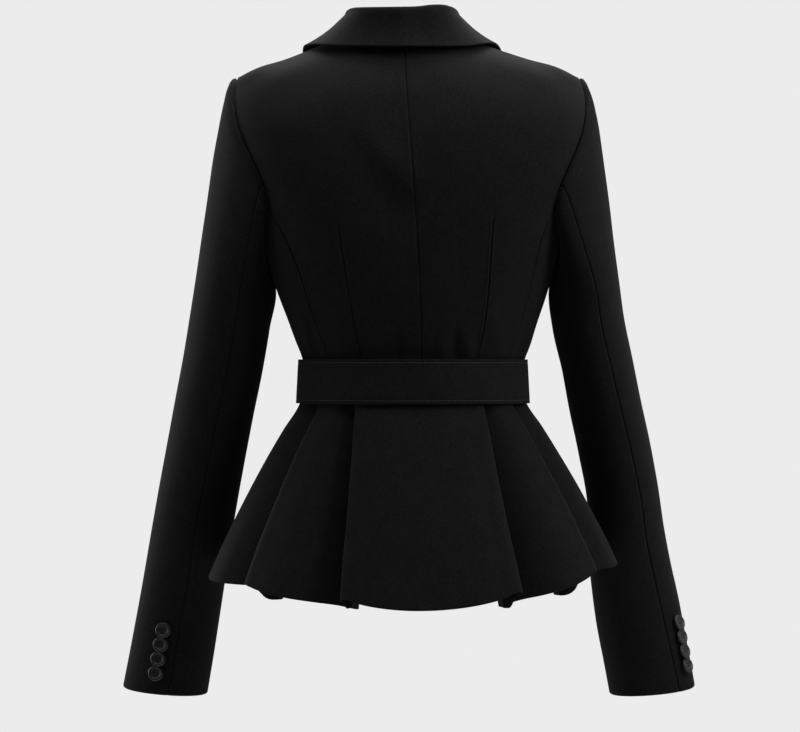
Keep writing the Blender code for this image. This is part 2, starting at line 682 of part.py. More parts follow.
def peplum_path(name, share):
    """One level of half the peplum, from the centre back to the front edge.

    Gives the angle, the depth below the outer face and the hem height of each column, and the column
    in the middle of the pleat where the cloth is pieced.
    """
    fold = mix(FOLD_RADIUS[0], FOLD_RADIUS[1], share)
    half, behind, before = mix(np.array(PEPLUM_TOP), np.array(PEPLUM_HEM), share)
    path = []

    def per_mm(angle):
        turn = math.radians(angle)
        depth = behind if angle < 90 else before
        return math.degrees(1 / math.hypot(half * math.cos(turn), depth * math.sin(turn)))

    def panel(start, risen, end, depth, hems, columns, bend=1):
        for angle in np.linspace(start, end, columns + 1):
            sunk = depth * (1 - float(ease(start, risen, angle)))
            path.append((angle, sunk, mix(hems[0], hems[1], ((angle - start) / (end - start)) ** bend)))

    start, hem, sunk, columns, bend = 0.0, CENTRE_HEM, 0.0, CENTRE_PANEL_COLUMNS, CENTRE_BEND
    for k, row in enumerate(PLEATS[name]):
        pleat = dict(zip(PLEAT_COLUMNS, row))
        outer = mix(pleat["outer_waist"], pleat["outer_hem"], share)
        inner = mix(pleat["inner_waist"], pleat["inner_hem"], share)
        outer -= fold * per_mm(outer)
        inner += fold * per_mm(inner)
        panel(start, inner - 2 * fold * per_mm(inner), outer, sunk, (hem, pleat["outer_drop"]), columns, bend)
        for turn in np.radians(np.linspace(0, 180, FOLD_STEPS + 1)[1:]):
            reach = fold * math.sin(turn) * per_mm(outer)
            turned = (1 - math.cos(turn)) / 2
            path.append((outer + reach, 2 * fold * turned, pleat["outer_drop"] - FOLD_DROP * turned))
        if k == SPLIT_PLEAT:
            split = len(path)
        under = mix(pleat["outer_drop"] - FOLD_DROP, pleat["inner_drop"], 0.5)
        path.append((mix(outer, inner, 0.5), 2 * fold, under))
        for turn in np.radians(np.linspace(0, 180, FOLD_STEPS + 1)):
            reach = fold * math.sin(turn) * per_mm(inner)
            path.append((inner - reach, fold * (3 - math.cos(turn)), pleat["inner_drop"]))
        start, hem = outer, pleat["covered_drop"]
        covered = mix(pleat["inner_drop"], hem, COVERED_MIDDLE)
        path.append((mix(inner, outer, COVERED_MIDDLE), 4 * fold, covered))
        sunk, columns, bend = 4 * fold, PANEL_COLUMNS, 1
    end = mix(FRONT_WAIST, FRONT_HEM, share)
    panel(start, FRONT_RISEN, end, sunk, (hem, FRONT_DROP), FRONT_PANEL_COLUMNS)
    return np.array(path), split


def peplum_row(name, share):
    """Points of one level of half the peplum, from the centre back to the front edge."""
    angle, sunk, hem = peplum_path(name, share)[0].T
    if name == "left":
        sunk = sunk + LAP_DEPTH * ease(FRONT_LAP_FROM, 180, angle)
    turn = np.radians(angle)
    hem = hem - SIDES[name] * HEM_TILT * np.sin(turn)
    height = WAIST + (hem - WAIST) * share
    belted = np.clip((WAIST - height) / (WAIST - BELT_BOTTOM), 0, 1)
    below = np.clip((BELT_BOTTOM - height) / (BELT_BOTTOM - hem), 0, 1)
    flare = below * (PEPLUM_FLARE - (PEPLUM_FLARE - 1) * below)
    half, behind, before = (
        mix(mix(top, belt, belted), end, flare) - sunk
        for top, belt, end in zip(PEPLUM_TOP, PEPLUM_BELTED, PEPLUM_HEM)
    )
    lean = mix(PEPLUM_SHIFT[0], PEPLUM_SHIFT[1], share) * np.maximum(np.cos(turn), 0)
    turn = SIDES[name] * turn + lean / half
    x = PEPLUM_CENTRE + half * np.sin(turn)
    y = np.where(np.cos(turn) > 0, behind, before) * np.cos(turn)
    return np.stack([x, y, height], axis=1)


def add_peplum(parts):
    """The back of the peplum and its two fronts, pieced inside a pleat on each side."""
    shares = np.concatenate([np.linspace(1, FLARED_SHARE, PEPLUM_ROWS - 2), [BELTED_SHARE, 0]])
    left, right = (np.stack([peplum_row(name, share) for share in shares]) for name in SIDES)
    split = peplum_path("left", 0)[1]
    grid = np.concatenate([right[:, ::-1], left[:, 1:]], axis=1)
    normals = sheet_normals(grid)
    centre = right.shape[1] - 1
    pieces = {
        "peplum_right": slice(centre - split + 1),
        "peplum_back": slice(centre - split, centre + split + 1),
        "peplum_left": slice(centre + split, None),
    }
    for name, columns in pieces.items():
        add_sheet(parts, name, grid[:, columns], normals[:, columns], PEPLUM_CLOTH, 0.5)


def add_body(parts, name):
    """The back, side and front panels and the lapel of one side."""
    side = SIDES[name]
    for piece, grid in (("back", back_panel(side)), ("side", side_panel(side)), ("front", front_panel(side))):
        add_sheet(parts, f"{piece}_{name}", grid, body_normals(grid), CLOTH)
    add_sheet(parts, f"lapel_{name}", *lapel(side), CLOTH)


def main():
    for old in list(bpy.data.objects):
        bpy.data.objects.remove(old, do_unlink=True)
    parts = bpy.data.collections.new("Belted blazer")
    bpy.context.scene.collection.children.link(parts)
    for name in SIDES:
        add_body(parts, name)
        add_sleeves(parts, name)
        add_buttons(parts, name)
    fold = collar()
    add_sheet(parts, "collar", fold, sheet_normals(fold), COLLAR_CLOTH, 0.5)
    band = belt()
    add_sheet(parts, "belt", band, outward(band, band.mean(axis=(0, 1))), BELT_CLOTH)
    add_buckle(parts)
    add_peplum(parts)


main()
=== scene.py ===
"""Black belted blazer: cloth, belt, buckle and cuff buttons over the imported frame, in a pale studio.

The cloth pieces take their shape from the outer faces of the frame's walls: each is a fine sheet with its
darts, drape and rounded edges. The back faces +Y, where the camera stands.
"""
import math

import bmesh
import bpy
import numpy as np
from bpy.props import FloatProperty, FloatVectorProperty, IntProperty, PointerProperty
from mathutils import Matrix, Vector


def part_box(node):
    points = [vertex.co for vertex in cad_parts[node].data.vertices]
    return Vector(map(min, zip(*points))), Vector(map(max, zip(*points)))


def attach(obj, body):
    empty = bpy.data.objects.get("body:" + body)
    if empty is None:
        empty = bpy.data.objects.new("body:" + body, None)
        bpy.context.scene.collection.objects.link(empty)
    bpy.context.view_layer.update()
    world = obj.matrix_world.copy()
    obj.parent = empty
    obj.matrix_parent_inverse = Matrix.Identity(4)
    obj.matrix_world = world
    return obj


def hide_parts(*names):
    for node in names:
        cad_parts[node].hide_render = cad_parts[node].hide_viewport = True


bl_info = {
    "name": "Belted blazer",
    "version": (1, 0, 0),
    "blender": (4, 5, 0),
    "location": "View3D > Sidebar > Blazer",
    "description": "Builds a black belted blazer with a pleated peplum, and its studio",
    "category": "Object",
}

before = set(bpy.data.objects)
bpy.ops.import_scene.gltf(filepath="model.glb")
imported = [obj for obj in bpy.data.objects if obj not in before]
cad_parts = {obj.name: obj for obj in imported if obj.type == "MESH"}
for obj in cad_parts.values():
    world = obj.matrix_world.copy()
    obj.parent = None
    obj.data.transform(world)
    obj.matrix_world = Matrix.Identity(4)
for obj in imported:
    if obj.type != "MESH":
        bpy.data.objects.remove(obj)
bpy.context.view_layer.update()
BUCKLE_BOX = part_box("buckle")

MM = 0.001
SIDES = ("left", "right")
# Faces that meet at less than this angle belong to one smooth side
SMOOTH_SIDE = math.radians(60)
# Points this near are one point, and no length is taken as shorter, in metres
MERGE = 1e-6

# Places of the colour sockets on a mix node
MIX_COLOURS = (6, 7)
MIX_RESULT = 2

# Waist darts: the height of each tip in metres, and the panel's column, from the centre back, that a dart follows
DART_TIPS = {"left": -0.190, "right": -0.181}
DART_COLUMN = 4

# Soft drape of the back: place, lean from upright to the wearer's left, half-length, half-width and rise, in mm
# and degrees
DRAPE_COLUMNS = ("x", "z", "lean", "length", "width", "rise")
BACK_DRAPE = [
    (22.0, -132.0, 42.0, 38.0, 16.0, 4.0),
    (18.0, -176.0, 40.0, 28.0, 24.0, -3.8),
    (52.0, -118.0, 35.0, 48.0, 20.0, -1.6),
    (-34.0, -110.0, -30.0, 50.0, 24.0, 1.4),
    (-47.0, -318.0, 4.0, 20.0, 5.5, -2.6),
    (-33.0, -322.0, -6.0, 17.0, 5.0, 1.9),
    (-61.0, -320.0, 10.0, 18.0, 6.0, 1.8),
    (12.0, -320.0, 8.0, 19.0, 6.0, -1.8),
    (30.0, -322.0, -8.0, 16.0, 7.0, 1.4),
    (70.0, -300.0, -14.0, 34.0, 9.0, 1.4),
    (-86.0, -296.0, 14.0, 34.0, 9.0, 1.4),
    (103.0, -312.0, 10.0, 16.0, 3.6, 1.8),
    (95.0, -322.0, 10.0, 26.0, 4.5, -2.2),
    (-121.0, -318.0, -14.0, 26.0, 4.0, 2.0),
    (-112.0, -318.0, -12.0, 26.0, 5.0, -1.2),
    (0.0, -326.0, 90.0, 75.0, 22.0, -4.8),
]

# A turned-in edge: how far each of its lines lies outside the seam and below the outer face, in mm
TURN_IN = [(-2.0, 0.0), (-1.1, 0.2), (-0.5, 0.65), (0.0, 1.2), (0.3, 1.8)]
ALL_EDGES = ("bottom", "top", "left", "right")
# A sleeve's seam allowance under the body: how far in and how far below the armhole's edge, in mm, how much it
# leans out from the armhole's middle, and that middle in metres
ALLOWANCE = [(0.5, 1.9), (5.0, 2.4)]
ALLOWANCE_LEAN = 0.25
ARMHOLE_CENTRE = (0.0, 0.0, -0.1235)

# A sewn dart: distance from its line and rise in mm, on both sides, and the length in metres of its soft tip
DART_PROFILE = [(0.0, -1.1), (0.6, -0.55), (1.2, 0.1), (2.0, 0.25)]
DART_FADE = 0.014

# The peplum's pleats, by columns counted from the centre back: how far out each hangs at the hem, in mm
PLEAT_DEPTH = {
    1: 0.8, 2: 1.8, 3: 1.2, 4: -1.4, 5: -2.0, 6: -2.2,
    14: -8.0, 15: -18.0, 16: -21.0, 17: -16.0, 18: -7.0, 19: 0.5, 20: 4.0, 21: 3.6, 22: 0.6, 23: -1.0, 24: -1.6,
    32: -5.0, 33: -12.0, 34: -15.0, 35: -10.5, 36: -4.0, 37: 0.4, 38: 2.2, 39: 2.0, 40: 0.0, 41: -1.0, 42: -1.6,
    51: -6.0, 52: -7.0, 53: -3.5, 54: -1.0,
}
# The power of the way down from the belt that this depth grows with
PLEAT_GROWTH = 0.6
# How much of their lean to the centre the columns have, halfway down, and how much that is in mm
PLEAT_LEAN = ((0, 4, 16, 22), (0.0, 1.0, 1.0, 0.0))
PLEAT_LEANS = 6.0
# The column at which the back of the peplum meets its sides
PIECED_COLUMN = 27

# The collar, in mm: where its right point starts and ends, and how much shorter and higher that is; the middle,
# half-width and rise of its roll; the half-width and rise of its fall's edge at the back
COLLAR_POINT = (-60.0, -106.0, 4.5, 2.5)
COLLAR_ROLL = (-29.0, 15.0, 2.4)
COLLAR_FALL = (70.0, -1.3)

# Cloth that is thicker or thinner than the jacket's, in metres
COLLAR_THICKNESS = 0.0019
PEPLUM_THICKNESS = 0.0011
BELT_THICKNESS = 0.0022

# The belt: its rings in mm, the angles in degrees that it runs between and the step, how its tail steps over its
# start, and the distances in mm of its lines from either edge
BELT_COLUMNS = ("z", "half", "back", "front")
BELT_RINGS = [(-374.0, 120.5, 87.8, 98.4), (-329.0, 118.2, 86.2, 97.0)]
BELT_CENTRE = -4.0
BELT_TURN = (190.0, -224.0)
BELT_STEP = 1.5
TAIL_RAMP = (-155.0, -172.0)
TAIL_RISE = 3.2
BELT_LINES = (0.0, 0.5, 1.1, 1.9, 2.6, 3.1, 3.4, 3.7, 4.2, 5.0, 6.5, 9.5, 14.0, 18.0)
BELT_EDGE = 0.0009
# Its stitching: how deep the thread presses the cloth and how far to each side, how high the thread lies in that
# groove, in mm, and the points that its line is measured at
STITCH_PRESS = (0.32, 0.75)
STITCH_LIFT = 0.12
STITCH_SAMPLES = 4000
# How much longer and thicker a bar of thread starts, because rounding shrinks it
BAR_GROWTH = (1.25, 1.4)

# The buckle's frame in mm: outside, corner and bar, and how deep it is
BUCKLE_SIZE = (52.0, 66.0)
BUCKLE_CORNER = 9.5
BUCKLE_BAR = 6.0
BUCKLE_DEPTH = 5.6
BUCKLE_EDGE = 0.0019

# A button, turned from its back to its dish: radius and height in mm
BUTTON_PROFILE = [
    (7.4, 0.0), (8.25, 0.9), (8.25, 1.8), (7.3, 2.7), (6.0, 2.7), (4.6, 1.8), (2.2, 1.6),
]
BUTTON_VERTICES = 48
BUTTON_NUMBERS = range(1, 5)
BUTTON_EDGE = 0.0004
BUTTON_CREASE = math.radians(15)
# Its holes: the middle's height and the length of the drill, in metres
HOLE_MIDDLE = 0.0013
HOLE_LENGTH = 0.004
HOLE_VERTICES = 16
# Its thread: length as a share of the holes' distance from the middle line, thickness and height in metres
THREAD_REACH = 2.9
THREAD_WIDTH = 0.0009
THREAD_HEIGHT = 0.0017
# How much of a sleeve above and below a button shows which way is out, in metres
BUTTON_BAND = 0.04

# The suiting: noise by the metre, the share of each noise in its shading, the contrast of that, and its shades
FIBRE_SCALE = 1400.0
NAP_SCALE, NAP_DETAIL = 620.0, 3.0
PATCH_SCALE = 60.0
GRAIN_SHARES = (0.3, 0.6, 0.1)
GRAIN_CONTRAST = 2.4
GRAIN_SHADES = (0.15, 1.9)
# How far its roughness spreads, the shares of ribs, threads and fibres in its relief, and the relief's strength and
# depth in metres
SUITING_SPREAD = 0.12
RELIEF_SHARES = (0.35, 0.12, 0.5)
SUITING_RELIEF = (0.35, 0.00012)

# Thread, horn and floor: noise by the metre, shades, and the spread and least value of the roughness
THREAD_TWIST = 3000.0
THREAD_SHADES = (0.7, 1.3)
THREAD_ROUGHNESS = (0.2, 0.55)
HORN_CLOUD, HORN_DETAIL = 260.0, 4.0
HORN_GRAIN = 900.0
HORN_SHADES = (0.6, 1.5)
HORN_SPREAD = 0.2
HORN_RELIEF = (0.2, 0.0002)
FLOOR_MOTTLE = 3.0
FLOOR_SHADES = (0.80, 0.84)
FLOOR_ROUGHNESS = (0.1, 0.6)

# The studio's soft square lights: place and size in metres, power in watts
LIGHT_COLUMNS = ("name", "place", "size", "power")
LIGHTS = [
    ("key_right", (-1.6, 0.85, 0.5), 0.6, 15.0),
    ("high_right", (-1.2, 0.4, 0.9), 0.8, 8.2),
    ("high_left", (1.2, 0.4, 0.9), 0.8, 2.2),
    ("side_left", (1.6, 0.45, -0.3), 0.6, 4.4),
    ("side_right", (-1.5, 0.3, -1.0), 0.8, 2.0),
    ("top", (0.0, 0.35, 1.25), 1.4, 18.5),
    ("top_behind", (0.0, -0.6, 1.2), 1.2, 32.0),
    ("rim_left", (1.45, -0.6, -0.2), 1.1, 12.5),
    ("rim_right", (-1.45, -0.6, -0.2), 1.1, 3.0),
]
LIGHT_AIM = (0.0, 0.0, -0.33)
FLOOR_RADIUS = 2.6
FLOOR_VERTICES = 96
# The camera's sensor in mm
SENSOR_WIDTH = 36.0

# Slow unevenness that all the cloth has: wavelength in mm, direction and phase
RIPPLES = [
    (118.0, (0.62, 0.25, 0.74), 0.4),
    (83.0, (-0.48, 0.66, 0.58), 1.9),
    (61.0, (0.35, -0.52, 0.78), 4.1),
]


def read_rows(columns, rows):
    """The rows of a table, each with its columns by name."""
    return [dict(zip(columns, row)) for row in rows]


class BlazerCloth(bpy.types.PropertyGroup):
    """The suiting of the jacket and the belt."""

    thickness: FloatProperty(
        name="Thickness", description="Thickness of the jacket's cloth", default=0.0014, unit="LENGTH")
    edge_round: FloatProperty(
        name="Edge rounding", description="How far a seamed or hemmed edge rolls in", default=0.00065, unit="LENGTH")
    spacing: FloatProperty(
        name="Spacing", description="Distance between the points of a sheet", default=0.0032, unit="LENGTH")
    ripple: FloatProperty(
        name="Ripple", description="Height of the cloth's slow unevenness", default=0.00035, unit="LENGTH")
    colour: FloatVectorProperty(
        name="Colour", description="Colour of the suiting", subtype="COLOR", size=3, default=(0.0062, 0.0062, 0.0068))
    roughness: FloatProperty(name="Roughness", description="Roughness of the suiting", default=0.82, subtype="FACTOR")
    sheen: FloatProperty(
        name="Sheen", description="Light caught by the nap at a slant", default=0.03, subtype="FACTOR")
    gloss: FloatProperty(
        name="Gloss", description="Light that the threads reflect", default=0.05, subtype="FACTOR")
    # How much lighter the belt's colour is than the jacket's, which is painted light on the belt; its sheen and gloss
    # rise by as much
    belt_brightening: FloatProperty(
        name="Belt brightening", description="How much more light the pressed cloth of the belt returns", default=1.06)
    weave_pitch: FloatProperty(
        name="Weave pitch", description="Distance between the ribs of the twill", default=0.0008, unit="LENGTH")


class BlazerBelt(bpy.types.PropertyGroup):
    """The belt's stitching and its buckle."""

    stitch_length: FloatProperty(
        name="Stitch length", description="Length of one stitch", default=0.0025, unit="LENGTH")
    stitch_pitch: FloatProperty(
        name="Stitch pitch", description="Distance from stitch to stitch", default=0.0033, unit="LENGTH")
    stitch_width: FloatProperty(
        name="Thread", description="Thickness of the stitching thread", default=0.00062, unit="LENGTH")
    stitch_inset: FloatProperty(
        name="Inset", description="Distance of the stitching from the belt's edge", default=0.0034, unit="LENGTH")
    thread_colour: FloatVectorProperty(
        name="Thread colour", description="Colour of the stitching thread", subtype="COLOR", size=3,
        default=(0.026, 0.026, 0.027))


class BlazerButton(bpy.types.PropertyGroup):
    """The cuff buttons."""

    holes: IntProperty(name="Holes", description="Number of holes in a button", default=4, min=2, max=4)
    hole_radius: FloatProperty(
        name="Hole radius", description="Radius of a hole", default=0.0008, unit="LENGTH")
    hole_circle: FloatProperty(
        name="Hole circle", description="Distance of the holes from the middle", default=0.0019, unit="LENGTH")
    colour: FloatVectorProperty(
        name="Colour", description="Colour of the horn", subtype="COLOR", size=3, default=(0.0085, 0.0083, 0.0083))
    roughness: FloatProperty(name="Roughness", description="Roughness of the horn", default=0.46, subtype="FACTOR")


class BlazerStage(bpy.types.PropertyGroup):
    """The studio: camera, floor and light."""

    distance: FloatProperty(
        name="Camera distance", description="From the camera to the blazer's middle", default=2.8, unit="LENGTH")
    camera_x: FloatProperty(name="Camera x", description="Place of the camera", default=0.0093, unit="LENGTH")
    camera_z: FloatProperty(name="Camera z", description="Place of the camera", default=-0.3358, unit="LENGTH")
    view_width: FloatProperty(
        name="View width", description="Width of the view at the blazer's middle", default=0.824, unit="LENGTH")
    paleness: FloatProperty(
        name="Paleness", description="Brightness of the surroundings as seen", default=0.84, subtype="FACTOR")
    ambient: FloatProperty(
        name="Ambient", description="Light that the surroundings give", default=0.02, subtype="FACTOR")
    floor_z: FloatProperty(name="Floor", description="Height of the floor", default=-1.45, unit="LENGTH")
    light: FloatProperty(name="Light", description="Strength of all the lights together", default=1.06, min=0.0)


class Value:
    """A shader value that adds Math nodes when it is used in an expression."""

    def __init__(self, finish, socket):
        self.finish = finish
        self.socket = socket

    def math(self, operation, *operands):
        return self.finish.node("Math", {"operation": operation}, *operands)

    def sine(self):
        return self.math("SINE", self)

    def __add__(self, other):
        return self.math("ADD", self, other)

    def __sub__(self, other):
        return self.math("SUBTRACT", self, other)

    def __mul__(self, other):
        return self.math("MULTIPLY", self, other)


class Nodes:
    """A node tree whose nodes are added one expression at a time."""

    def __init__(self, tree):
        self.tree = tree

    def node(self, kind, settings=None, *values, output=0, **named):
        """Adds a node, sets its settings first and then its sockets, and gives one of its outputs."""
        node = self.tree.nodes.new(f"ShaderNode{kind}")
        for name, setting in (settings or {}).items():
            setattr(node, name, setting)
        pairs = list(zip(node.inputs, values))
        pairs += [(node.inputs[name.replace("_", " ")], value) for name, value in named.items()]
        for socket, value in pairs:
            self.join(socket, value)
        return Value(self, node.outputs[output])

    def join(self, socket, value):
        if isinstance(value, Value):
            self.tree.links.new(value.socket, socket)
        else:
            socket.default_value = value


class Finish(Nodes):
    """A material, with the constants of its shader."""

    def __init__(self, name, **constants):
        self.material = bpy.data.materials.new(name)
        self.material.use_nodes = True
        super().__init__(self.material.node_tree)
        self.shader = self.tree.nodes["Principled BSDF"]
        self.set(**constants)

    def set(self, **values):
        """Gives the shader's own sockets a constant, or what changes over the surface."""
        for name, value in values.items():
            self.join(self.shader.inputs[name.replace("_", " ")], value)

    def noise(self, place, scale, detail=2.0):
        return self.node("TexNoise", {"noise_dimensions": "3D"}, Vector=place, Scale=scale, Detail=detail)

    def colour(self, share, colour, shades):
        """Colours the surface from a darker to a lighter shade of one colour."""
        mixed = self.node("Mix", {"data_type": "RGBA"}, share, output=MIX_RESULT)
        for place, part in zip(MIX_COLOURS, shades):
            mixed.socket.node.inputs[place].default_value = (*shade(colour, part), 1)
        self.set(Base_Color=mixed)

    def relief(self, height, strength, depth):
        """Raises and lowers the surface in the light."""
        self.set(Normal=self.node("Bump", None, Strength=strength, Distance=depth, Height=height))


def shade(colour, share):
    """A colour made darker or lighter by a share."""
    return tuple(channel * share for channel in colour)


def add_shares(values, shares):
    """The sum of three shader values, each with its share."""
    first, second, third = (value * share for value, share in zip(values, shares))
    return first + second + third


def suiting(name, brightening=1.0):
    """Fine black twill: ribs that follow the cut, a soft nap and a little unevenness."""
    cloth = bpy.context.scene.blazer_cloth
    # A brightening above 1 paints light into the colour, and raises the sheen and gloss by as much
    colour = shade(cloth.colour, brightening)
    finish = Finish(name, Specular_IOR_Level=cloth.gloss * brightening, Sheen_Weight=cloth.sheen * brightening,
                    Sheen_Roughness=0.45, Sheen_Tint=(1, 1, 1, 1))
    place = finish.node("TexCoord", output="Object")
    split = finish.node("SeparateXYZ", None, finish.node("TexCoord", output="UV")).socket.node
    across, along = (Value(finish, split.outputs[axis]) for axis in ("X", "Y"))
    turn = math.tau / cloth.weave_pitch
    rib = ((across + along) * turn).sine()
    thread = ((across - along) * turn).sine()
    fibre = finish.noise(place, FIBRE_SCALE)
    nap = finish.noise(place, NAP_SCALE, NAP_DETAIL)
    patch = finish.noise(place, PATCH_SCALE)
    grain = add_shares((fibre, nap, patch), GRAIN_SHARES)
    finish.colour(grain * GRAIN_CONTRAST - (GRAIN_CONTRAST - 1) / 2, colour, GRAIN_SHADES)
    finish.set(Roughness=fibre * SUITING_SPREAD + (cloth.roughness - SUITING_SPREAD / 2))
    finish.relief(add_shares((rib, thread, fibre), RELIEF_SHARES), *SUITING_RELIEF)
    return finish.material


def thread_finish():
    """Matt sewing thread with a twist."""
    belt = bpy.context.scene.blazer_belt
    finish = Finish("sewing_thread", Specular_IOR_Level=0.25)
    place = finish.node("TexCoord", output="Object")
    twist = finish.noise(place, THREAD_TWIST)
    finish.colour(twist, belt.thread_colour, THREAD_SHADES)
    spread, least = THREAD_ROUGHNESS
    finish.set(Roughness=twist * spread + least)
    return finish.material


def horn():
    """Black horn, cloudy, with a low polish."""
    button = bpy.context.scene.blazer_button
    finish = Finish("black_horn", Specular_IOR_Level=0.35)
    place = finish.node("TexCoord", output="Object")
    cloud = finish.noise(place, HORN_CLOUD, HORN_DETAIL)
    finish.colour(cloud, button.colour, HORN_SHADES)
    finish.set(Roughness=cloud * HORN_SPREAD + (button.roughness - HORN_SPREAD / 2))
    finish.relief(finish.noise(place, HORN_GRAIN), *HORN_RELIEF)
    return finish.material


def pale_floor():
    """Pale studio floor, very slightly mottled."""
    finish = Finish("pale_floor", Specular_IOR_Level=0.2)
    mottle = finish.noise(finish.node("TexCoord", output="Object"), FLOOR_MOTTLE)
    finish.colour(mottle, (1, 1, 1), FLOOR_SHADES)
    spread, least = FLOOR_ROUGHNESS
    finish.set(Roughness=mottle * spread + least)
    return finish.material


def belt_suiting():
    """The suiting of the belt: its colour made lighter as painted light, and its sheen and gloss raised with it."""
    return suiting("belt_suiting", bpy.context.scene.blazer_cloth.belt_brightening)


MADE = {}


def material(maker, *settings):
    """A material that several pieces share, made when it is first asked for."""
    key = (maker, *settings)
    if key not in MADE:
        MADE[key] = maker(*settings)
    return MADE[key]


def make_active(piece):
    """Selects one piece alone."""
    bpy.ops.object.select_all(action="DESELECT")
    piece.select_set(True)
    bpy.context.view_layer.objects.active = piece


def shape(piece, kind, **settings):
    """Adds a modifier to a piece and applies it."""
    make_active(piece)
    modifier = piece.modifiers.new(kind.title(), kind)
    for name, value in settings.items():
        setattr(modifier, name, value)
    bpy.ops.object.modifier_apply(modifier=modifier.name)


def round_edges(piece, width, segments=3, crease=SMOOTH_SIDE):
    """Rounds the edges of a piece that are sharper than a crease."""
    shape(piece, "BEVEL", width=width, segments=segments, limit_method="ANGLE", angle_limit=crease)


def finish_piece(piece, made_of, slot, *nodes):
    """Gives a piece its material and its place in the frame."""
    piece.data.materials.clear()
    piece.data.materials.append(made_of)
    make_active(piece)
    bpy.ops.object.shade_smooth_by_angle(angle=SMOOTH_SIDE)
    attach(piece, "root")
    if nodes:
        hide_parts(*nodes)


def smooth_side(wall):
    """The largest side of a wall whose faces meet softly."""
    left, sides = set(wall.faces), []
    while left:
        waiting, side = [left.pop()], []
        while waiting:
            face = waiting.pop()
            side.append(face)
            for edge in face.edges:
                if len(edge.link_faces) == 2 and edge.calc_face_angle() < SMOOTH_SIDE:
                    near = [other for other in edge.link_faces if other in left]
                    left.difference_update(near)
                    waiting.extend(near)
        sides.append(side)
    return max(sides, key=lambda side: sum(face.calc_area() for face in side))


def turns(points):
    """How sharply a closed line turns at each of its points."""
    steps = np.roll(points, -1, axis=0) - points
    steps /= np.linalg.norm(steps, axis=1, keepdims=True)
    return np.arccos(np.clip(np.sum(steps * np.roll(steps, 1, axis=0), axis=1), -1, 1))


def cad_grid(name):
    """The outer face of one of the frame's walls, as rows of points from its lowest side up.

    The wall's triangles are followed row by row from a corner, so the points keep the order of the cut.
    """
    wall = bmesh.new()
    wall.from_mesh(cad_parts[name].data)
    bmesh.ops.remove_doubles(wall, verts=wall.verts, dist=MERGE)
    side = smooth_side(wall)
    corners = {vertex for face in side for vertex in face.verts}
    sharp_folds = [face for face in wall.faces if corners.issuperset(face.verts)]
    grid = side_grid(side) or side_grid(sharp_folds)
    if grid is None:
        raise RuntimeError(f"The wall of {name} isn't a grid")
    points = np.array([[vertex.co for vertex in row] for row in grid])
    wall.free()
    return points


def side_grid(side):
    """Rows of the points of a wall's side, or nothing where it isn't a whole grid."""
    third, following = {}, {}
    for face in side:
        ring = list(face.verts)
        for k in range(3):
            third[ring[k], ring[k - 2]] = ring[k - 1]
    for first, last in third:
        if (last, first) not in third:
            following[first] = last
    border = [next(iter(following))]
    while following[border[-1]] is not border[0]:
        border.append(following[border[-1]])
    count = len({vertex for edge in third for vertex in edge})
    half = (len(border) + 4) / 4
    spread = math.sqrt(max(half * half - count, 0))
    lengths = {(round(half + spread), round(half - spread)), (round(half - spread), round(half + spread))}
    sharp = turns(np.array([vertex.co for vertex in border]))

    def sharpness(choice):
        columns, rows, start = choice
        corners = (0, columns - 1, columns + rows - 2, 2 * columns + rows - 3)
        return sum(sharp[(start + corner) % len(border)] for corner in corners)

    choices = [(columns, rows, start) for columns, rows in lengths for start in range(len(border))]
    for choice in sorted(choices, key=sharpness, reverse=True):
        columns, rows, start = lowest_side(border, *choice)
        grid = follow_rows(border[start:] + border[:start], third, columns, rows)
        if grid:
            return grid
    return None


def follow_rows(border, third, columns, rows):
    """Rows of a grid, from its lowest side up, or nothing where the triangles don't lead round its border."""
    grid = [border[:columns]]
    for i in range(1, rows):
        below, row = grid[-1], [border[-i]]
        for j in range(1, columns):
            point = third.get((below[j - 1], below[j]))
            row.append(third.get((row[-1], below[j])) if point is row[-1] else point)
        if row[-1] is not border[columns - 1 + i]:
            return None
        grid.append(row)
    return grid


def lowest_side(border, columns, rows, start):
    """Starts a grid's border at the corner before its lowest side."""
    choices = []
    for _ in range(4):
        side = [border[(start + k) % len(border)].co.z for k in range(columns)]
        choices.append((sum(side) / columns, columns, rows, start % len(border)))
        start += columns - 1
        columns, rows = rows, columns
    return min(choices)[1:]


def finer(points, spacing, least=2):
    """The rows of a grid with smooth rows set between them, about a spacing apart."""
    steps = np.diff(points, axis=0)
    lengths = np.maximum(np.linalg.norm(steps, axis=2, keepdims=True), MERGE)
    slopes = steps / lengths
    inner = (slopes[:-1] * lengths[1:] + slopes[1:] * lengths[:-1]) / (lengths[:-1] + lengths[1:])
    tangents = np.concatenate([2 * slopes[:1] - inner[:1], inner, 2 * slopes[-1:] - inner[-1:]])
    rows = []
    for k, length in enumerate(lengths):
        parts = max(least, math.ceil(length.mean() / spacing))
        for s in np.arange(parts) / parts:
            ends = points[k] * (1 + 2 * s) * (1 - s) ** 2 + points[k + 1] * s * s * (3 - 2 * s)
            bow = tangents[k] * s * (1 - s) ** 2 - tangents[k + 1] * s * s * (1 - s)
            rows.append(ends + length * bow)
    return np.stack([*rows, points[-1]])


def ease(first, last, at):
    """A soft step from 0 at the first place to 1 at the last."""
    share = np.clip((at - first) / (last - first), 0, 1)
    return share * share * (3 - 2 * share)


def normals_of(points):
    """The way a grid of points looks out at each of them."""
    across, up = (np.gradient(points, axis=axis) for axis in (1, 0))
    normals = np.cross(across, up)
    return normals / np.maximum(np.linalg.norm(normals, axis=2, keepdims=True), MERGE)


def ripple(points):
    """The slow unevenness of the cloth at each point."""
    total = 0
    for wavelength, direction, phase in RIPPLES:
        total = total + np.sin(points @ np.array(direction) * math.tau / (wavelength * MM) + phase)
    return total * bpy.context.scene.blazer_cloth.ripple / len(RIPPLES)


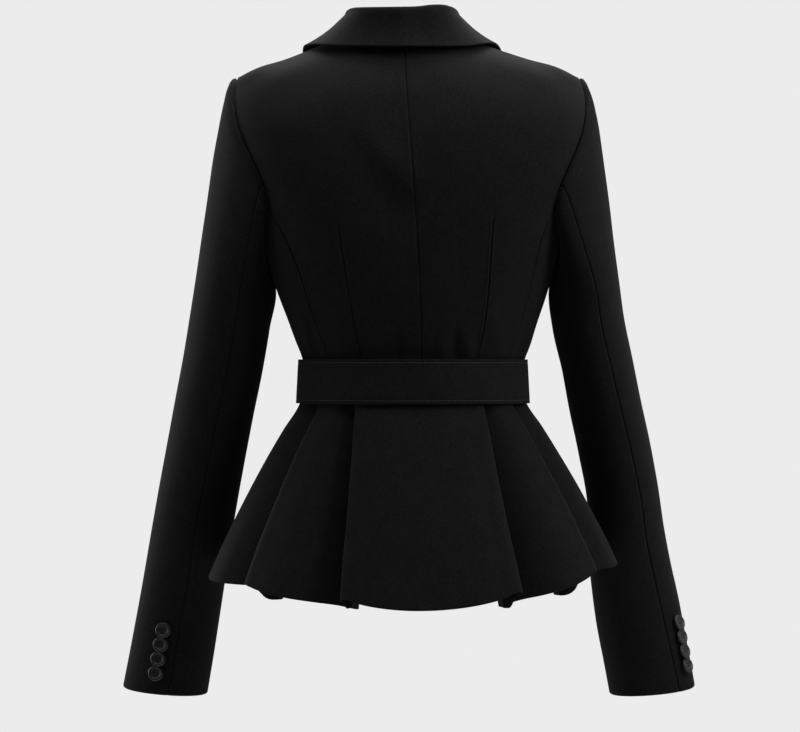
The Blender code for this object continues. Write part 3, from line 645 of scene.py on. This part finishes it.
def back_drape(points):
    """Soft folds of the back, and the puckers where the belt gathers it."""
    x, z = points[..., 0] / MM, points[..., 2] / MM
    rise = 0
    for fold in read_rows(DRAPE_COLUMNS, BACK_DRAPE):
        lean = math.radians(fold["lean"])
        along = (z - fold["z"]) * math.cos(lean) + (x - fold["x"]) * math.sin(lean)
        across = (x - fold["x"]) * math.cos(lean) - (z - fold["z"]) * math.sin(lean)
        rise = rise + fold["rise"] * np.exp(-(along / fold["length"]) ** 2 - (across / fold["width"]) ** 2)
    return rise * MM


def allowance(edge):
    """Lines of a sleeve's seam allowance, which lie under the body beside the armhole."""
    radial = (edge - ARMHOLE_CENTRE) * (0, 1, 1)
    radial = radial / np.linalg.norm(radial, axis=1, keepdims=True)
    under = radial * ALLOWANCE_LEAN - np.array((math.copysign(1, edge[0, 0]), 0, 0))
    under = under / np.linalg.norm(under, axis=1, keepdims=True)
    return [edge + (under * away - radial * down) * MM for away, down in ALLOWANCE]


def turn_in(points, edges, set_in):
    """Adds lines that roll the named edges of a grid in, as pressed seams do; a set-in sleeve's top goes furthest."""
    normals = normals_of(points)
    for edge in edges:
        axis, first = (0 if edge in ("bottom", "top") else 1), edge in ("bottom", "left")
        lines, looks = (np.moveaxis(grid, axis, 0) for grid in (points, normals))
        if not first:
            lines, looks = lines[::-1], looks[::-1]
        out = lines[0] - lines[1]
        out = out / np.maximum(np.linalg.norm(out, axis=1, keepdims=True), MERGE)
        rolled = [lines[0] + (out * away - looks[0] * down) * MM for away, down in TURN_IN]
        if set_in and edge == "top":
            rolled = rolled[:-len(ALLOWANCE)] + allowance(lines[0])
        lines = np.concatenate([np.stack(rolled[::-1]), lines[1:]])
        looks = np.concatenate([np.repeat(looks[:1], len(rolled), axis=0), looks[1:]])
        if not first:
            lines, looks = lines[::-1], looks[::-1]
        points, normals = np.moveaxis(lines, 0, axis), np.moveaxis(looks, 0, axis)
    return points


def arc_lengths(points, axis):
    """Distance along a grid's lines from their first point."""
    steps = np.linalg.norm(np.diff(points, axis=axis), axis=2)
    return np.insert(np.cumsum(steps, axis=axis), 0, 0, axis=axis)


def add_sheet(name, points):
    """A grid primitive moved onto the points, with a map of the flat cut in metres."""
    rows, columns = points.shape[:2]
    bpy.ops.object.select_all(action="DESELECT")
    bpy.ops.mesh.primitive_grid_add(x_subdivisions=columns - 1, y_subdivisions=rows - 1, size=1)
    piece = bpy.context.object
    piece.name = piece.data.name = name
    mesh = piece.data
    mesh.vertices.foreach_set("co", points.astype(np.float32).ravel())
    across, along = arc_lengths(points, 1), arc_lengths(points, 0)
    flat = np.stack([across - across.mean(axis=1, keepdims=True), along], axis=2).reshape(-1, 2)
    corners = np.zeros(len(mesh.loops), np.int32)
    mesh.loops.foreach_get("vertex_index", corners)
    mesh.uv_layers[0].data.foreach_set("uv", flat[corners].astype(np.float32).ravel())
    mesh.update()
    return piece


def press_dart(points, coarse, tip):
    """Sets close columns beside a dart's line and presses the sewn fold in, from its tip down to the waist."""
    from_centre = np.argsort(np.abs(coarse[0, :, 0]))
    column = DART_COLUMN if from_centre[0] == 0 else coarse.shape[1] - 1 - DART_COLUMN
    middle = int(np.argmin(np.linalg.norm(points[0] - coarse[0, column], axis=1)))
    line, looks = points[:, middle], normals_of(points)[:, middle]
    pressed = ease(tip, tip - DART_FADE, line[:, 2])[:, None] * MM
    sides = []
    for beside in (points[:, middle - 1], points[:, middle + 1]):
        way = beside - line
        way = way / np.linalg.norm(way, axis=1, keepdims=True)
        sides.append([line + way * away * MM + looks * rise * pressed for away, rise in DART_PROFILE])
    fold = np.stack([*sides[0][:0:-1], *sides[1]], axis=1)
    return np.concatenate([points[:, :middle], fold, points[:, middle + 1:]], axis=1)


def give_body(piece, thickness):
    """Gives a sheet its thickness, inwards, and rolls its edges."""
    shape(piece, "SOLIDIFY", thickness=thickness, offset=-1.0)
    round_edges(piece, bpy.context.scene.blazer_cloth.edge_round, segments=2)


def declare_sheet(points):
    """Takes the diagonals of a sheet's cells, and does nothing with them."""
    sides = points[1:, :-1] - points[:-1, 1:], points[1:, 1:] - points[:-1, :-1]


def cloth_piece(node, drape=None, hang=None, dart_tip=None, thickness=None, turned=(), set_in=False):
    """A finished piece of the jacket's cloth in place of one of the frame's walls."""
    cloth = bpy.context.scene.blazer_cloth
    coarse = cad_grid(node)
    if hang:
        coarse = hang(coarse)
    points = finer(coarse, cloth.spacing)
    points = finer(points.transpose(1, 0, 2), cloth.spacing).transpose(1, 0, 2)
    rise = ripple(points)
    if drape:
        rise = rise + drape(points)
    points = points + normals_of(points) * rise[..., None]
    if dart_tip:
        points = press_dart(points, coarse, dart_tip)
    points = turn_in(points, turned, set_in)
    piece = add_sheet(f"{node}_cloth", points)
    give_body(piece, thickness or cloth.thickness)
    finish_piece(piece, material(suiting, "black_suiting"), "jacket_cloth", node)
    declare_sheet(points)


def hang_peplum(points):
    """Hangs a peplum's pleats: deep beside their folds, and leaning to the centre back halfway down."""
    columns = np.arange(points.shape[1])
    if columns[-1] == 2 * PIECED_COLUMN:
        columns = np.abs(columns - PIECED_COLUMN)
    else:
        columns = PIECED_COLUMN + (columns if points[-1, 0, 1] > points[-1, -1, 1] else columns[::-1])
    depth = np.array([PLEAT_DEPTH.get(int(column), 0.0) for column in columns])[:, None]
    lean = np.interp(columns, *PLEAT_LEAN)[:, None] * PLEAT_LEANS
    belt = BELT_RINGS[0][0] * MM
    down = np.clip((belt - points[..., 2:]) / (belt - points[..., 2].min()), 0, 1)
    out = (points - (BELT_CENTRE * MM, 0, 0)) * (1, 1, 0)
    out = out / np.linalg.norm(out, axis=2, keepdims=True)
    inward = -np.sign(out) * (1, 0, 0)
    return points + (out * depth * down ** PLEAT_GROWTH + inward * lean * np.sin(math.pi * down)) * MM


def set_collar(points):
    """Shortens the collar's right point, lifts its roll right of the middle and lets its fall down at the back."""
    first, last, shorter, higher = COLLAR_POINT
    x, z = points[..., 0] / MM, points[..., 2]
    at_point = ease(first, last, x)
    centre, half, rise = COLLAR_ROLL
    on_roll = ease(0, z.max(), z) * np.exp(-((x - centre) / half) ** 2)
    half, drop = COLLAR_FALL
    at_edge = (points[..., 1] > 0) * np.exp(-(x / half) ** 2) * np.linspace(1, 0, points.shape[1]) ** 2
    moves = np.stack([shorter * at_point, 0 * x, higher * at_point + rise * on_roll + drop * at_edge], axis=2)
    return points + moves * MM


class BLAZER_OT_body(bpy.types.Operator):
    """Back, side and front panels, with the darts and the drape of the back"""

    bl_idname = "blazer.body"
    bl_label = "Body panels"

    def execute(self, context):
        for side in SIDES:
            outer_edge = "right" if side == "left" else "left"
            cloth_piece(f"back_{side}", drape=back_drape, dart_tip=DART_TIPS[side], turned=ALL_EDGES)
            cloth_piece(f"side_{side}", drape=back_drape, turned=ALL_EDGES)
            cloth_piece(f"front_{side}", turned=("bottom", "top", outer_edge))
        return {"FINISHED"}


class BLAZER_OT_collar(bpy.types.Operator):
    """Lapels and the turned-down collar"""

    bl_idname = "blazer.collar"
    bl_label = "Collar and lapels"

    def execute(self, context):
        for side in SIDES:
            cloth_piece(f"lapel_{side}")
        cloth_piece("collar", hang=set_collar, thickness=COLLAR_THICKNESS)
        return {"FINISHED"}


class BLAZER_OT_sleeves(bpy.types.Operator):
    """Top sleeves and under sleeves"""

    bl_idname = "blazer.sleeves"
    bl_label = "Sleeves"

    def execute(self, context):
        for side in SIDES:
            cloth_piece(f"top_sleeve_{side}", turned=ALL_EDGES, set_in=True)
            cloth_piece(f"under_sleeve_{side}", turned=ALL_EDGES, set_in=True)
        return {"FINISHED"}


class BLAZER_OT_peplum(bpy.types.Operator):
    """The pleated peplum"""

    bl_idname = "blazer.peplum"
    bl_label = "Peplum"

    def execute(self, context):
        for piece in ("back", "left", "right"):
            cloth_piece(f"peplum_{piece}", hang=hang_peplum, thickness=PEPLUM_THICKNESS)
        return {"FINISHED"}


def belt_points(heights, angles, rise):
    """Points of the belt's outer face at some heights and angles, raised by so much, in metres."""
    low, high = read_rows(BELT_COLUMNS, BELT_RINGS)
    share = ((np.asarray(heights) - low["z"]) / (high["z"] - low["z"]))[:, None]
    turn = np.radians(angles)
    out = rise + TAIL_RISE * ease(*TAIL_RAMP, angles)
    half, back, front = (low[name] + (high[name] - low[name]) * share + out for name in BELT_COLUMNS[1:])
    depth = np.where(np.cos(turn) > 0, back, front)
    x, y = BELT_CENTRE + half * np.sin(turn), depth * np.cos(turn)
    z = np.asarray(heights)[:, None] + 0 * x
    return np.stack([x, y, z], axis=2) * MM


def repeat(name, pattern, places):
    """One mesh of many copies of a pattern, each at its place."""
    corners = np.array([vertex.co for vertex in pattern.vertices])
    faces = [list(face.vertices) for face in pattern.polygons]
    points = np.concatenate([corners @ turned.T + origin for origin, turned in places])
    mesh = bpy.data.meshes.new(name)
    copies = [[corner + k * len(corners) for corner in face] for k in range(len(places)) for face in faces]
    mesh.from_pydata(points.tolist(), [], copies)
    piece = bpy.data.objects.new(name, mesh)
    bpy.context.scene.collection.objects.link(piece)
    return piece


def rounded_bar(length, width):
    """A short bar of thread with round ends."""
    bpy.ops.object.select_all(action="DESELECT")
    bpy.ops.mesh.primitive_cube_add(size=1)
    bar = bpy.context.object
    bpy.ops.object.mode_set(mode="EDIT")
    bpy.ops.transform.resize(value=(length, width, width))
    bpy.ops.object.mode_set(mode="OBJECT")
    shape(bar, "SUBSURF", levels=1)
    return bar


def stitch_places(height, pitch):
    """Where the stitches of one line round the belt lie, and which way each is turned."""
    line = belt_points([height], np.linspace(*BELT_TURN, STITCH_SAMPLES), STITCH_LIFT - STITCH_PRESS[0])[0]
    along = arc_lengths(line[None], 1)[0]
    places = []
    for station in np.arange(pitch, along[-1] - pitch / 2, pitch):
        k = int(np.searchsorted(along, station))
        forward = line[k] - line[k - 1]
        forward /= np.linalg.norm(forward)
        out = np.cross((0, 0, 1), forward)
        places.append((line[k], np.stack([forward, (0, 0, 1), out], axis=1)))
    return places


class BLAZER_OT_belt(bpy.types.Operator):
    """The belt and the stitching along both its edges"""

    bl_idname = "blazer.belt"
    bl_label = "Belt"

    def execute(self, context):
        belt = context.scene.blazer_belt
        low, high = BELT_RINGS[0][0], BELT_RINGS[-1][0]
        width = high - low
        inset = belt.stitch_inset / MM
        from_edge = np.array([*BELT_LINES, *(width - line for line in BELT_LINES[::-1])])
        near = np.minimum(from_edge, width - from_edge)
        press = STITCH_PRESS[0] * np.exp(-(((near - inset) / STITCH_PRESS[1]) ** 2))
        angles = np.linspace(*BELT_TURN, round((BELT_TURN[0] - BELT_TURN[1]) / BELT_STEP) + 1)
        points = belt_points(low + from_edge, angles, -press[:, None])
        piece = add_sheet("belt_cloth", points)
        shape(piece, "SOLIDIFY", thickness=BELT_THICKNESS, offset=-1.0)
        round_edges(piece, BELT_EDGE)
        finish_piece(piece, material(belt_suiting), "belt_cloth", "belt")
        declare_sheet(points)
        longer, thicker = BAR_GROWTH
        bar = rounded_bar(belt.stitch_length * longer, belt.stitch_width * thicker)
        lines = [stitch_places(height, belt.stitch_pitch) for height in (low + inset, high - inset)]
        stitches = repeat("belt_stitching", bar.data, sum(lines, []))
        bpy.data.objects.remove(bar)
        finish_piece(stitches, material(thread_finish), "belt_cloth")
        return {"FINISHED"}


class BLAZER_OT_buckle(bpy.types.Operator):
    """The plain buckle, covered with the belt's cloth"""

    bl_idname = "blazer.buckle"
    bl_label = "Buckle"

    def execute(self, context):
        bpy.ops.object.select_all(action="DESELECT")
        bpy.ops.mesh.primitive_plane_add(size=1)
        buckle = context.object
        buckle.name = buckle.data.name = "buckle_cloth"
        width, height = (size * MM for size in BUCKLE_SIZE)
        bpy.ops.object.mode_set(mode="EDIT")
        bpy.ops.mesh.select_all(action="SELECT")
        bpy.ops.transform.resize(value=(width, height, 1))
        bpy.ops.mesh.bevel(offset=BUCKLE_CORNER * MM, segments=6, affect="VERTICES")
        bpy.ops.mesh.inset(thickness=BUCKLE_BAR * MM)
        bpy.ops.mesh.delete(type="FACE")
        bpy.ops.mesh.select_all(action="SELECT")
        bpy.ops.mesh.extrude_region_move(TRANSFORM_OT_translate={"value": (0, 0, BUCKLE_DEPTH * MM)})
        bpy.ops.mesh.select_all(action="SELECT")
        bpy.ops.mesh.normals_make_consistent(inside=False)
        bpy.ops.object.mode_set(mode="OBJECT")
        round_edges(buckle, BUCKLE_EDGE)
        shape(buckle, "SUBSURF", levels=1)
        low, high = (Vector(corner) for corner in BUCKLE_BOX)
        front = Matrix.Rotation(math.pi / 2, 4, "X") @ Matrix.Translation((0, 0, -BUCKLE_DEPTH * MM / 2))
        buckle.data.transform(Matrix.Translation((low + high) / 2) @ front)
        finish_piece(buckle, material(belt_suiting), "belt_cloth", "buckle")
        return {"FINISHED"}


def turned_button():
    """One button, drawn up from a disc through its profile and drilled."""
    button = bpy.context.scene.blazer_button
    bpy.ops.object.select_all(action="DESELECT")
    bpy.ops.mesh.primitive_circle_add(
        vertices=BUTTON_VERTICES, radius=BUTTON_PROFILE[0][0] * MM, fill_type="NGON")
    disc = bpy.context.object
    bpy.ops.object.mode_set(mode="EDIT")
    bpy.ops.mesh.select_all(action="SELECT")
    for (radius, height), (next_radius, next_height) in zip(BUTTON_PROFILE, BUTTON_PROFILE[1:]):
        bpy.ops.mesh.extrude_region_move(
            TRANSFORM_OT_translate={"value": (0, 0, (next_height - height) * MM)})
        bpy.ops.transform.resize(value=(next_radius / radius, next_radius / radius, 1))
    bpy.ops.mesh.select_all(action="SELECT")
    bpy.ops.mesh.normals_make_consistent(inside=False)
    bpy.ops.object.mode_set(mode="OBJECT")
    round_edges(disc, BUTTON_EDGE, crease=BUTTON_CREASE)
    for k in range(button.holes):
        turn = math.tau * (k + 0.5) / button.holes
        place = (button.hole_circle * math.cos(turn), button.hole_circle * math.sin(turn), HOLE_MIDDLE)
        bpy.ops.object.select_all(action="DESELECT")
        bpy.ops.mesh.primitive_cylinder_add(
            vertices=HOLE_VERTICES, radius=button.hole_radius, depth=HOLE_LENGTH, location=place)
        drill = bpy.context.object
        shape(disc, "BOOLEAN", operation="DIFFERENCE", object=drill, solver="EXACT")
        bpy.data.objects.remove(drill)
    return disc


def button_place(node, sleeve):
    """Where a button of the frame sits on its sleeve: its back's middle and the way it looks."""
    points = np.array([vertex.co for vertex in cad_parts[node].data.vertices])
    middle = points.mean(axis=0)
    out = Vector(np.linalg.svd(points - middle)[2][-1])
    cloth = [vertex.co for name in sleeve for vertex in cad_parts[name].data.vertices]
    near = [place for place in cloth if abs(place.z - middle[2]) < BUTTON_BAND]
    inside = sum(near, Vector()) / len(near)
    out *= math.copysign(1, out.dot(Vector(middle) - inside))
    back = Vector(middle) + out * float(np.min((points - middle) @ np.array(out)))
    across = Vector((0, 0, 1)).cross(out).normalized()
    turned = Matrix((across, out.cross(across), out)).transposed().to_4x4()
    return Matrix.Translation(back) @ turned


class BLAZER_OT_buttons(bpy.types.Operator):
    """Four lapped buttons on each cuff, sewn on through four holes"""

    bl_idname = "blazer.buttons"
    bl_label = "Cuff buttons"

    def execute(self, context):
        pattern = turned_button()
        across = context.scene.blazer_button.hole_circle / math.sqrt(2)
        bar = rounded_bar(THREAD_REACH * across, THREAD_WIDTH)
        threads = repeat("thread_pattern", bar.data, [
            (np.array((0, place, THREAD_HEIGHT)), np.eye(3)) for place in (across, -across)])
        for side in SIDES:
            sleeve = (f"top_sleeve_{side}", f"under_sleeve_{side}")
            for number in BUTTON_NUMBERS:
                node = f"button_{side}_{number}"
                place = button_place(node, sleeve)
                for model, name, made_of, nodes in (
                    (pattern, f"{node}_horn", material(horn), (node,)),
                    (threads, f"{node}_thread", material(thread_finish), ()),
                ):
                    piece = bpy.data.objects.new(name, model.data.copy())
                    piece.data.transform(place)
                    context.scene.collection.objects.link(piece)
                    finish_piece(piece, made_of, "button", *nodes)
        for model in (pattern, threads, bar):
            bpy.data.objects.remove(model)
        return {"FINISHED"}


class BLAZER_OT_stage(bpy.types.Operator):
    """Pale floor, soft light and the camera behind the blazer"""

    bl_idname = "blazer.stage"
    bl_label = "Studio"

    def execute(self, context):
        stage = context.scene.blazer_stage
        bpy.ops.object.select_all(action="DESELECT")
        bpy.ops.mesh.primitive_circle_add(
            vertices=FLOOR_VERTICES, radius=FLOOR_RADIUS, fill_type="NGON", location=(0, 0, stage.floor_z))
        floor = context.object
        floor.name = "studio_floor"
        floor.data.materials.append(pale_floor())
        world = bpy.data.worlds.new("studio")
        context.scene.world = world
        world.use_nodes = True
        air = Nodes(world.node_tree)
        seen = air.node("LightPath", output="Is Camera Ray")
        surroundings = world.node_tree.nodes["Background"]
        air.join(surroundings.inputs["Color"], (1, 1, 1, 1))
        air.join(surroundings.inputs["Strength"], seen * (stage.paleness - stage.ambient) + stage.ambient)
        context.scene.view_settings.view_transform = "Standard"
        for light in read_rows(LIGHT_COLUMNS, LIGHTS):
            add_light(light, stage.light)
        view = bpy.data.cameras.new("photo_view")
        view.sensor_width = SENSOR_WIDTH
        view.lens = view.sensor_width * stage.distance / stage.view_width
        camera = bpy.data.objects.new("photo_view", view)
        context.scene.collection.objects.link(camera)
        camera.location = (stage.camera_x, stage.distance, stage.camera_z)
        camera.rotation_euler = (math.pi / 2, 0, math.pi)
        context.scene.camera = camera
        return {"FINISHED"}


def add_light(row, strength):
    """A square soft light that looks at the blazer's middle."""
    light = bpy.data.lights.new(row["name"], "AREA")
    light.size = row["size"]
    light.energy = row["power"] * strength
    lamp = bpy.data.objects.new(row["name"], light)
    lamp.location = row["place"]
    lamp.rotation_euler = (Vector(LIGHT_AIM) - lamp.location).to_track_quat("-Z", "Y").to_euler()
    bpy.context.scene.collection.objects.link(lamp)


class VIEW3D_PT_blazer(bpy.types.Panel):
    """Buttons for the blazer's pieces and its studio"""

    bl_label = "Belted blazer"
    bl_space_type = "VIEW_3D"
    bl_region_type = "UI"
    bl_category = "Blazer"

    def draw(self, context):
        for maker in MAKERS:
            self.layout.operator(maker.bl_idname)


SETTINGS = {
    "blazer_cloth": BlazerCloth,
    "blazer_belt": BlazerBelt,
    "blazer_button": BlazerButton,
    "blazer_stage": BlazerStage,
}
MAKERS = (
    BLAZER_OT_body,
    BLAZER_OT_collar,
    BLAZER_OT_sleeves,
    BLAZER_OT_peplum,
    BLAZER_OT_belt,
    BLAZER_OT_buckle,
    BLAZER_OT_buttons,
    BLAZER_OT_stage,
)


def register():
    for name, group in SETTINGS.items():
        bpy.utils.register_class(group)
        setattr(bpy.types.Scene, name, PointerProperty(type=group))
    for maker in (*MAKERS, VIEW3D_PT_blazer):
        bpy.utils.register_class(maker)


def unregister():
    for maker in (VIEW3D_PT_blazer, *reversed(MAKERS)):
        bpy.utils.unregister_class(maker)
    for name, group in SETTINGS.items():
        delattr(bpy.types.Scene, name)
        bpy.utils.unregister_class(group)


def main():
    register()
    for maker in MAKERS:
        group, name = maker.bl_idname.split(".")
        getattr(getattr(bpy.ops, group), name)()


if __name__ == "__main__":
    main()
